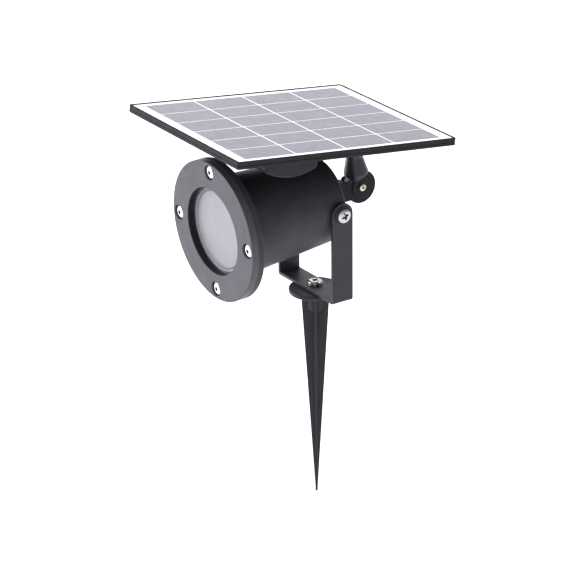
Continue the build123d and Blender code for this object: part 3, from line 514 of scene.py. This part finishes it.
finishes = {
    "black_plastic": moulded_plastic("black_plastic", (0.015, 0.015, 0.019), 0.50),
    "black_metal": coated_metal("black_metal", (0.027, 0.027, 0.033), 0.50, (0.07, 0.07, 0.08), shine=0.24),
    "grey_metal": coated_metal("grey_metal", (0.046, 0.046, 0.056), 0.42, (0.13, 0.13, 0.15)),
    "chrome_steel": bright_metal("chrome_steel", (0.47, 0.47, 0.49), 0.12),
    "brass_plate": bright_metal("brass_plate", (0.58, 0.52, 0.40), 0.16),
    "steel": bright_metal("steel", (0.62, 0.62, 0.64), 0.28),
    "seal_rubber": soft_rubber("seal_rubber", (0.012, 0.012, 0.013)),
    "frosted_glass": frosted_glass("frosted_glass"),
    "clear_lens": clear_plastic("clear_lens"),
    "pale_plastic": moulded_plastic("pale_plastic", (0.55, 0.55, 0.52), 0.5, scuffs=0.1),
    "aluminium": bright_metal("aluminium", (0.72, 0.73, 0.75), 0.36),
    "board_green": circuit_board("board_green", (0.015, 0.12, 0.05)),
    "board_white": circuit_board("board_white", (0.62, 0.62, 0.60)),
    "component_black": moulded_plastic("component_black", (0.018, 0.018, 0.018), 0.42, scuffs=0.2),
    "led_package": moulded_plastic("led_package", (0.75, 0.66, 0.30), 0.35, scuffs=0.1),
    "wheel_black": moulded_plastic("wheel_black", (0.03, 0.03, 0.03), 0.6, scuffs=0.2),
    "backsheet_white": laminate_white("backsheet_white"),
    "solar_blue": solar_cell("solar_blue"),
    "cover_clear": clear_plastic("cover_clear"),
    "cell_wrap": shrink_sleeve("cell_wrap", (0.05, 0.18, 0.42)),
}
# Darker metals for the screw recesses: painted shade in the hollows. The greyer one is also the base washer's own
# dark steel.
dark_steel_and_recess_shade = bright_metal("dark_steel_and_recess_shade", (0.30, 0.30, 0.31), 0.22)
recess_painted_shade = bright_metal("recess_painted_shade", (0.03, 0.03, 0.03), 0.5)
# A darker copy of the black plastic for the hinge arm: painted shade between the barrel and the disc.
arm_shaded_plastic = moulded_plastic("arm_shaded_plastic", (0.010, 0.010, 0.013), 0.50, shine=0.14)
# The spike's paler edges are a painted highlight where its edges catch the light.
spike_plastic = moulded_plastic("spike_plastic", (0.018, 0.018, 0.022), 0.50, edge_highlight=(0.075, 0.075, 0.082))
tray_plastic = moulded_plastic("tray_plastic", (0.019, 0.019, 0.023), 0.6, shine=0.10)
# A brighter copy of the chrome for the bezel screws: painted light on their heads.
bezel_screw_lit_chrome = bright_metal("bezel_screw_lit_chrome", (0.70, 0.70, 0.71), 0.12)
lip_plastic = moulded_plastic("lip_plastic", (0.008, 0.008, 0.010), 0.75, shine=0.03)
stem_plastic = moulded_plastic("stem_plastic", (0.021, 0.021, 0.025), 0.38, shine=0.55)
glass_groove = bright_metal("glass_groove", (0.20, 0.20, 0.23), 0.5)
# Near-black coat for the bezel opening's inner wall: painted shade.
bezel_throat_shade = coated_metal("bezel_throat_shade", (0.006, 0.006, 0.008), 0.6, (0.02, 0.02, 0.025))
bracket_coat = coated_metal("bracket_coat", (0.018, 0.018, 0.024), 0.44, (0.09, 0.09, 0.105))


# ---------------------------------------------------------------- fasteners


def cross_outline(reach, width):
    """Outline of a cross recess: four arms that narrow towards their ends."""
    half = width / 2
    arm = [(half, half), (reach, half * 0.8), (reach, -half * 0.8)]
    return [Matrix.Rotation(-k * pi / 2, 2) @ Vector(p) for k in range(4) for p in arm]


def cross_screw(
    head_radius, head_height, shank_radius, length,
    recess=0.58, width=0.24, arms_shade=None, well_material=None,
):
    """Pan-head screw with a tapered cross recess. Its head's underside is at height zero.

    The recess's reach and width are parts of the head's radius.
    """
    rim = head_height * 0.5
    crown = []
    for k in range(1, 10):
        turn = radians(90) * k / 10
        crown.append(Vector((head_radius * cos(turn) ** 0.8, rim + (head_height - rim) * sin(turn))))
    foot = rounded([
        (0, -length, 0), (shank_radius * 0.72, -length, 0), (shank_radius, -length + 0.8, 0),
        (shank_radius, 0, 0), (head_radius, 0, 0.12), (head_radius, rim, 0),
    ], closed=False)
    screw = lathe("screw", foot + crown + [(0, head_height)], steps=48)
    screw.data.materials.append(finishes["steel"])
    above = head_height * 1.2
    cross = cross_outline(head_radius * recess, head_radius * width)
    # The recess's arms and well take darker metal: painted shade in the hollow.
    arms = prism("arms", cross, head_height * 0.25, above, shrink=0.5)
    arms.data.materials.append(arms_shade or dark_steel_and_recess_shade)
    well = lathe("well", [
        (0, head_height * 0.02), (head_radius * 0.22, head_height * 0.30),
        (head_radius * 0.34, above), (0, above),
    ], steps=24)
    well.data.materials.append(well_material or recess_painted_shade)
    return shaded(cut(screw, arms, well), 38)


def around(radius, count, start=0.0):
    """Places on a circle, in a piece's own plane."""
    turns = [start + 2 * pi * k / count for k in range(count)]
    return [(radius * cos(a), radius * sin(a)) for a in turns]


def upright(place, x, y, z, turn=0.0):
    """Matrix, in the frame, of a point in a set of axes, with a turn about its Z."""
    return place @ Matrix.Translation(Vector((x, y, z)) * MM) @ Matrix.Rotation(turn, 4, "Z")


m5_radius = 2.5
m5_hole_radius = 2.6


# ---------------------------------------------------------------- spike and base


disc_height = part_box("ground_spike")[1].z / MM
disc_radius = size("ground_spike").x / 2
spike_length = -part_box("ground_spike")[0].z / MM
boss_depth = 13.0
blade_half_thickness = 0.75
blade_turn = radians(-34)


def make_spike():
    disc = lathe("ground_spike_body", rounded([
        (0, disc_height, 0), (disc_radius, disc_height, 0.8), (disc_radius, 0, 1.1), (6.2, 0, 0.7),
        (5.2, -1.5, 0), (5.1, -boss_depth, 2.6), (0, -boss_depth, 0),
    ]))
    taper = [(9.2, 1.0), (6.9, -36), (4.5, -73), (0.7, 2.5 - spike_length)]
    outline = taper + [(0, -spike_length)] + [(-x, z) for x, z in reversed(taper)]
    fins = []
    for k in range(2):
        across = Matrix.Rotation(blade_turn + k * pi / 2, 4, "Z") @ Matrix.Rotation(pi / 2, 4, "X")
        fins.append(prism("fin", outline, -blade_half_thickness, blade_half_thickness, across))
    spike = softened(joined(disc, *fins), 0.25, 2, 40)
    finished(shaded(spike), spike_plastic, "spike", "black_plastic", "ground_spike")


def make_base_bolt():
    low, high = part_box("base_bolt")
    washer_low, washer_high = [corner.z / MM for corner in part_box("base_washer")]
    head_radius = (high.x - low.x) / 2 / MM
    screw = cross_screw(
        head_radius, high.z / MM - washer_high, m5_radius, washer_high - low.z / MM,
        0.56, 0.34, recess_painted_shade, dark_steel_and_recess_shade,
    )
    bolt = copies(screw, "base_bolt_head", [upright(WORLD, 0, 0, washer_high, radians(28))])
    finished(bolt, finishes["chrome_steel"], "spike", "chrome_steel", "base_bolt")
    radius = head_radius + 0.2
    washer = lathe("base_washer_ring", rounded([
        (m5_hole_radius, washer_low, 0.1), (radius, washer_low, 0.15),
        (radius, washer_high, 0.2), (m5_hole_radius, washer_high, 0.1),
    ]))
    finished(shaded(washer), dark_steel_and_recess_shade, "spike", "chrome_steel", "base_washer")


# ---------------------------------------------------------------- bracket


pivot_screw_tip = 19.0


def make_bracket():
    low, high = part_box("u_bracket")
    half, bottom, top = high.x / MM, low.z / MM, high.z / MM
    strap_half = (high.y - low.y) / 2 / MM
    thickness = 2.0
    inner_half = half - thickness
    outer = rounded([(-half, top, 0), (-half, bottom, 1.9), (half, bottom, 1.9), (half, top, 0)])
    inner = rounded([
        (inner_half, top, 0), (inner_half, bottom + thickness, 0.6),
        (-inner_half, bottom + thickness, 0.6), (-inner_half, top, 0),
    ])
    bracket = prism("bracket_strap", outer + inner, -strap_half, strap_half, axes(Vector(), X, (0, -1, 0)))
    side = axes(Vector(), (0, 1, 0), X)
    beyond = half + 5
    pin_height = pin_centre.z / MM
    stadium = arc(0, pin_height, strap_half, 0, 180) + [(-strap_half, -20), (strap_half, -20)]
    keep = prism("keep", stadium, -beyond, beyond, side)
    combine(bracket, [keep], "INTERSECT")
    pin_hole = prism("hole", arc(0, pin_height, m5_hole_radius, 0, 350), -beyond, beyond, side)
    bolt_hole = prism("hole", arc(0, 0, m5_hole_radius, 0, 350), 0, 8)
    softened(cut(bracket, pin_hole, bolt_hole), 0.32, 3, 40)
    finished(shaded(bracket), bracket_coat, "bracket", "black_metal", "u_bracket")


def make_pivots():
    low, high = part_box("pivot_screws")
    washer_in = size("u_bracket").x / 2 + 0.05
    washer_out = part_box("pivot_washers")[1].x / MM
    head_radius = (high.z - low.z) / 2 / MM
    screw = cross_screw(
        head_radius, high.x / MM - washer_out, m5_radius, washer_out - pivot_screw_tip,
        0.62, 0.40, recess_painted_shade, finishes["chrome_steel"],
    )
    sides = [axes(pin_centre, (0, s, 0), (s, 0, 0)) for s in (1, -1)]
    screws = copies(screw, "pivot_screw_pair", [upright(s, 0, 0, washer_out, radians(20)) for s in sides])
    finished(screws, finishes["chrome_steel"], "projector", "chrome_steel", "pivot_screws")
    radius = size("pivot_washers").z / 2
    thickness = washer_out - washer_in
    ring = lathe("ring", rounded([
        (m5_hole_radius, 0, 0.1), (radius, 0, 0.15),
        (radius, thickness, 0.25), (m5_hole_radius, thickness, 0.1),
    ]))
    rings = copies(shaded(ring), "pivot_washer_pair", [upright(s, 0, 0, washer_in) for s in sides])
    finished(rings, finishes["seal_rubber"], "projector", "black_metal", "pivot_washers")


# ---------------------------------------------------------------- bezel and glass


def distance(node, high=True, radius=None):
    """How far forward of the pins a round piece's front, or rear, face lies along the light's axis."""
    low_corner, high_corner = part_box(node)
    middle_y = (low_corner.y + high_corner.y) / 2
    radius = radius or size(node).x / 2
    half = ((high_corner.y - low_corner.y) / 2 / MM - radius * abs(light.z)) / abs(light.y)
    centre = (middle_y - pin_centre.y) / light.y / MM
    return centre + half if high else centre - half


bezel_front = distance("front_bezel")
bezel_rear = distance("front_bezel", False)
bezel_radius = size("front_bezel").x / 2
bezel_opening = 28.0
screw_circle = 38.75
bore_radius = 2.2
counterbore_radius = 4.7
counterbore_rim = counterbore_radius + 0.35
counterbore_floor = bezel_front - 2.2


def make_bezel():
    joint_rear, joint_radius = bezel_rear - 0.7, bezel_radius - 0.35
    ring = lathe("bezel_ring", rounded([
        (bezel_opening, bezel_rear, 0.2), (joint_radius, bezel_rear, 0), (joint_radius, joint_rear, 0),
        (bezel_radius, joint_rear, 0.08), (bezel_radius, bezel_front, 0.5), (bezel_opening, bezel_front, 0.4),
    ]), LIGHT, 192)
    behind, before = bezel_rear - 1, bezel_front + 0.1
    outline = [
        (0, behind), (bore_radius, behind), (bore_radius, counterbore_floor),
        (counterbore_radius, counterbore_floor), (counterbore_radius, bezel_front - 0.25),
        (counterbore_rim, before), (0, before),
    ]
    bores = [lathe("bore", outline, upright(LIGHT, x, y, 0), 48) for x, y in around(screw_circle, 4)]
    ring = cut(ring, *bores)
    finished(shaded(ring), finishes["grey_metal"], "projector", "grey_metal", "front_bezel")
    # The opening's inner wall takes the near-black coat: painted shade.
    painted(ring, bezel_throat_shade, lambda centre, normal: (
        off_axis(centre) < bezel_opening + 0.1 and abs(normal.dot(light)) < 0.3))


def make_bezel_screws():
    screw = cross_screw(4.0, 1.8, 2.0, 6.0, 0.36, 0.34, recess_painted_shade)
    turns = [radians(a) for a in (12, 40, 75, 28)]
    spots = zip(around(screw_circle, 4), turns)
    places = [upright(LIGHT, x, y, counterbore_floor, turn) for (x, y), turn in spots]
    screws = copies(screw, "bezel_screw_set", places)
    finished(screws, bezel_screw_lit_chrome, "projector", "chrome_steel", "bezel_screws")


def make_glass():
    """Pane with a raised rim, a groove inside the rim, and a faint step in its face."""
    front = distance("front_glass")
    rear = distance("front_glass", False)
    radius = size("front_glass").x / 2
    shoulder, groove, face, centre_face = front - 0.8, front - 0.45, front - 0.1, front - 0.2
    pane = lathe("glass_pane", rounded([
        (0, rear, 0), (radius, rear, 0.3), (radius, shoulder, 0.3), (27.7, shoulder, 0), (27.7, groove, 0.2),
        (26.9, front, 0.3), (25.9, front, 0.2), (25.6, groove, 0.1), (25.0, groove, 0.1), (24.6, face, 0.2),
        (21.6, face, 0.1), (21.2, centre_face, 0.1), (0, centre_face, 0),
    ]), LIGHT, 160)
    finished(shaded(pane, 50), finishes["frosted_glass"], "projector", "frosted_glass", "front_glass")
    painted(pane, glass_groove, lambda centre, normal: (
        24.9 < off_axis(centre) < 25.7 and (centre - pin_centre).dot(light) / MM > front - 0.5))


# ---------------------------------------------------------------- knuckle and stem


knuckle_radius = 10.9
arm_half_width = 4.4
fork_half_gap = 2.65
tongue_half_width = 1.95


def circle(radius):
    """Outline of a circle about a set of axes' origin."""
    return arc(0, 0, radius, 0, 354, 60)


def oblong(left, right, bottom, top):
    """Outline of a plain rectangle."""
    return [(left, bottom), (right, bottom), (right, top), (left, top)]


def make_arm():
    plate_thickness = 3.0
    plate_rear = distance("arm_gasket", False, 14.0) - plate_thickness
    offset = knuckle_centre - pin_centre
    rise = offset.dot(LIGHT.col[1].xyz) / MM
    near = offset.dot(-light) / MM + plate_rear + 0.5
    shoulder, underside = 6.4, 7.2
    ramp_start, ramp_turn = 13.6, 25.5
    underside_turn = 270 + degrees(acos(underside / knuckle_radius))
    knuckle = arc(0, 0, knuckle_radius, ramp_turn, underside_turn, 40)
    outline = [(near, shoulder), (ramp_start, shoulder)] + knuckle + [(near, -underside)]
    arm = prism("knuckle_arm", outline, -arm_half_width, arm_half_width, KNUCKLE)
    plate_outline = [(x, y + rise) for x, y in arc(0, 7, 7, 0, 180, 20) + arc(0, -7, 7, 180, 360, 20)]
    plate = prism("plate", plate_outline, plate_rear, plate_rear + plate_thickness, LIGHT)
    step_radius, cheek = 7.25, arm_half_width + 0.7
    step = lathe("step", rounded([
        (0, -cheek, 0), (step_radius, -cheek, 0.35), (step_radius, cheek, 0.35), (0, cheek, 0),
    ]), KNUCKLE, 72)
    # The fork's far cheek is level with the arm in front, which leaves room for the cup round it.
    levelling = prism("levelling", oblong(0.8, 13.5, 6.5, 13), 2.0, 6, KNUCKLE)
    arm = joined(cut(arm, levelling), plate, step)
    gap = prism("gap", circle(knuckle_radius + 0.4), -fork_half_gap, fork_half_gap, KNUCKLE)
    recess_low, recess_high = arm_half_width + 0.25, arm_half_width + 1.0
    recess = lathe("recess", [
        (0, recess_low), (2.9, recess_low), (3.2, recess_high), (0, recess_high),
    ], KNUCKLE, 48)
    arm = softened(cut(arm, gap, recess), 0.45, 3, 38)
    finished(shaded(arm), arm_shaded_plastic, "projector", "black_plastic", "hinge_arm")


def make_knuckle_screw():
    low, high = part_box("knuckle_screw")
    head_height = 1.5
    face = high.x / MM - head_height
    screw = cross_screw(2.4, head_height, 1.5, face - low.x / MM, 0.6)
    place = axes(knuckle_centre, (0, 1, 0), X)
    pin = copies(screw, "knuckle_screw_pin", [upright(place, 0, 0, face, radians(35))])
    finished(pin, finishes["brass_plate"], "projector", "brass_plate", "knuckle_screw")


def make_stem():
    """Cup over the fork, stem, foot flange, and the tongue that turns in the fork, with the foot's screws."""
    underside = PANEL @ Matrix.Translation((0, 0, -panel_thickness * MM))
    to_panel = (underside.translation - knuckle_centre).dot(panel_normal)
    stem_height = to_panel / cos(stem_lean + acos(panel_normal.z)) / MM
    foot = axes(knuckle_centre + stem_direction * stem_height * MM, X, panel_normal)
    stem = lathe("stem_tube", rounded([
        (0, 1.6, 0), (7.9, 1.6, 0), (7.9, 9.4, 1.2), (5.4, 19.5, 6), (4.5, 28, 6), (4.5, stem_height - 8, 5),
        (7.4, stem_height + 2, 0), (0, stem_height + 2, 0),
    ]), STEM, 80)
    cup_slope = Matrix.Rotation(radians(16), 4, "X") @ Matrix.Rotation(radians(-9), 4, "Y")
    below = prism("below", oblong(-14, 14, -14, 14), -12, 0, upright(STEM, 0, 0, 6.3) @ cup_slope)
    above = prism("above", oblong(-15, 15, -15, 15), 0, 8, foot)
    saddle_half = arm_half_width + 1.0
    saddle = prism("saddle", circle(knuckle_radius + 0.3), -saddle_half, saddle_half, KNUCKLE_FLIPPED)
    stem = cut(stem, above, below, saddle)
    flange_radius, flange_thickness = 14, 3
    flange = lathe("flange", rounded([
        (0, 0, 0), (flange_radius, 0, 0.2), (flange_radius, -flange_thickness, 1.0),
        (8.5, -flange_thickness, 0.8), (7, -4.2, 0), (0, -4.2, 0),
    ]), foot, 80)
    thickness = (-tongue_half_width, tongue_half_width)
    tongue = prism("tongue", circle(knuckle_radius - 0.9), *thickness, KNUCKLE_FLIPPED)
    neck = prism("neck", oblong(*thickness, -6.5, 6.5), 0, 12, STEM)
    stem = softened(joined(stem, flange, tongue, neck), 0.3, 2, 40)
    finished(shaded(stem), stem_plastic, "panel", "black_plastic", "panel_stem")
    screw = cross_screw(2.6, 1.8, 1.5, 4.8, 0.62)
    flip = Matrix.Rotation(pi, 4, "X")
    places = [upright(foot, x, y, -flange_thickness) @ flip for x, y in around(10.5, 4, pi / 4)]
    screws = copies(screw, "stem_screw_set", places)
    finished(screws, finishes["steel"], "panel", "steel", "stem_screws")


# ---------------------------------------------------------------- solar panel


panel_lip = 1.3
pocket_floor = -1.7
film_top = -0.45


def rectangle(width, length, radius, steps=5):
    """Closed outline of a rounded rectangle, with the same number of points whatever its radius."""
    radius = max(radius, 0.02)
    points = []
    for k, (sx, sy) in enumerate(((1, 1), (-1, 1), (-1, -1), (1, -1))):
        cx, cy = sx * (width / 2 - radius), sy * (length / 2 - radius)
        points += arc(cx, cy, radius, 90 * k, 90 * (k + 1), steps)
    return points


def add_shell(bm, section, outline_at):
    """Adds a closed shell to bm, with one loop for each (inset, height) point of the section."""
    loops = []
    for inset, height in section:
        loops.append([bm.verts.new((x, y, height)) for x, y in outline_at(inset)])
    for lower, upper in zip(loops, loops[1:]):
        for i in range(len(lower)):
            j = (i + 1) % len(lower)
            bm.faces.new((lower[i], lower[j], upper[j], upper[i]))
    bm.faces.new(loops[0])
    bm.faces.new(loops[-1])


def make_panel_frame():
    """The frame's side with its parting groove, its lip and its pocket, carried round the rectangle."""
    section = rounded([
        (1.6, -panel_thickness, 0), (0, -panel_thickness, 0.5), (0, -2.95, 0.12), (0.25, -2.8, 0.12),
        (0.25, -2.3, 0.12), (0, -2.15, 0.12), (0, 0, 0.25), (panel_lip, 0, 0.12),
        (panel_lip, pocket_floor, 0), (2.0, pocket_floor, 0),
    ], closed=False)
    bm = bmesh.new()
    add_shell(bm, section, lambda inset: rectangle(
        panel_width - 2 * inset, panel_length - 2 * inset, 1.5 - inset))
    tray = made("panel_tray", bm, PANEL)
    finished(shaded(tray), tray_plastic, "panel", "black_plastic", "panel_frame")
    painted(tray, lip_plastic, lambda centre, normal: normal.dot(panel_normal) > 0.5)


def make_laminate():
    """White film that fills the frame's pocket."""
    width, length = panel_width - 2 * panel_lip, panel_length - 2 * panel_lip
    section = [(0.02, pocket_floor), (0.02, film_top - 0.08), (0.1, film_top)]
    bm = bmesh.new()
    add_shell(bm, section, lambda inset: rectangle(width - 2 * inset, length - 2 * inset, 0.9))
    film = made("panel_film", bm, PANEL)
    finished(shaded(film), finishes["backsheet_white"], "panel", "backsheet_white",
             "panel_backsheet", "cover_sheet")


def make_cells():
    """Twenty-four cells, six across the panel and four along it, standing on the white film."""
    across, along = 6, 4
    across_pitch, along_pitch = 19.0, 36.0
    width, length = across_pitch - 0.9, along_pitch - 1.0
    section = [(0, film_top - 0.3), (0, film_top + 0.05), (0.06, film_top + 0.1)]
    bm = bmesh.new()
    for i in range(across):
        for j in range(along):
            centre = Vector(((i - (across - 1) / 2) * across_pitch, (j - (along - 1) / 2) * along_pitch))
            add_shell(bm, section, lambda inset: [
                centre + point for point in rectangle(width - 2 * inset, length - 2 * inset, 0.5, 4)])
    cells = made("solar_cell_set", bm, PANEL)
    finished(shaded(cells), finishes["solar_blue"], "panel", "solar_blue", "solar_cells")


# ---------------------------------------------------------------- stage


def make_stage():
    """White floor under the spike's tip, soft white surroundings, two large lamps, and the camera."""
    scene = bpy.context.scene
    scene.view_settings.view_transform = "Standard"

    bm = bmesh.new()
    floor_half = 6000
    bmesh.ops.create_grid(bm, x_segments=1, y_segments=1, size=floor_half)
    floor = made("floor", bm, Matrix.Translation((0, 0, cad_bounds[0][2] - 0.0005)))
    paper = Surface("floor_paper", (0.93, 0.93, 0.93), 0.8)
    paper.tint(paper.noise(400, 2), (0.91, 0.91, 0.915), 0.5)
    floor.data.materials.append(paper.material)

    world = bpy.data.worlds.new("studio")
    scene.world = world
    world.use_nodes = True
    tree = world.node_tree
    background = tree.nodes["Background"]
    direction = tree.nodes.new("ShaderNodeTexCoord")
    toward = tree.nodes.new("ShaderNodeVectorMath")
    toward.operation = "DOT_PRODUCT"
    brightest = Vector((-0.62, -0.52, 0.59))
    toward.inputs[1].default_value = brightest
    strength = tree.nodes.new("ShaderNodeMapRange")
    strength.interpolation_type = "SMOOTHSTEP"
    for name, value in (("From Min", -0.60), ("From Max", 0.75), ("To Min", 0.38), ("To Max", 1.75)):
        socket(strength, name, value)
    tree.links.new(direction.outputs["Generated"], toward.inputs[0])
    tree.links.new(toward.outputs["Value"], strength.inputs["Value"])
    tree.links.new(strength.outputs["Result"], background.inputs["Strength"])
    socket(background, "Color", (1, 1, 1, 1))

    lit_point = Vector((0, 0, 0.06))
    lamps = (("key", (-1.3, -1.2, 0.35), 1.3, 22.0), ("top", (-0.3, 0.2, 1.7), 1.6, 20.0))
    for name, place, side, power in lamps:
        lamp = bpy.data.lights.new(name, "AREA")
        lamp.shape = "SQUARE"
        lamp.size = side
        lamp.energy = power
        obj = bpy.data.objects.new(name, lamp)
        obj.location = place
        obj.rotation_euler = (lit_point - Vector(place)).to_track_quat("-Z", "Y").to_euler()
        scene.collection.objects.link(obj)

    azimuth, elevation, roll = radians(56.372), radians(23.620), radians(-0.696)
    back = Vector((sin(azimuth) * cos(elevation), -cos(azimuth) * cos(elevation), sin(elevation)))
    level = Vector((cos(azimuth), sin(azimuth), 0))
    upward = back.cross(level)
    right = level * cos(roll) + upward * sin(roll)
    up = back.cross(right)
    target = level * -0.0182 + Z * 0.00345
    camera_distance = 1.640276
    eye = target + back * camera_distance
    camera = bpy.data.cameras.new("camera")
    camera.sensor_width = 36
    camera.lens = 162.46
    obj = bpy.data.objects.new("camera", camera)
    obj.matrix_world = Matrix.Translation(eye) @ Matrix((right, up, back)).transposed().to_4x4()
    scene.collection.objects.link(obj)
    scene.camera = obj


# ---------------------------------------------------------------- everything


for part in frame["record"]["subparts"]:
    node = frame["nodes"][part["node"]]
    node.data.materials.clear()
    node.data.materials.append(finishes[part["material_slot"]])

make_spike()
make_base_bolt()
make_bracket()
make_pivots()
make_bezel()
make_bezel_screws()
make_glass()
make_arm()
make_knuckle_screw()
make_stem()
make_panel_frame()
make_laminate()
make_cells()
make_stage()
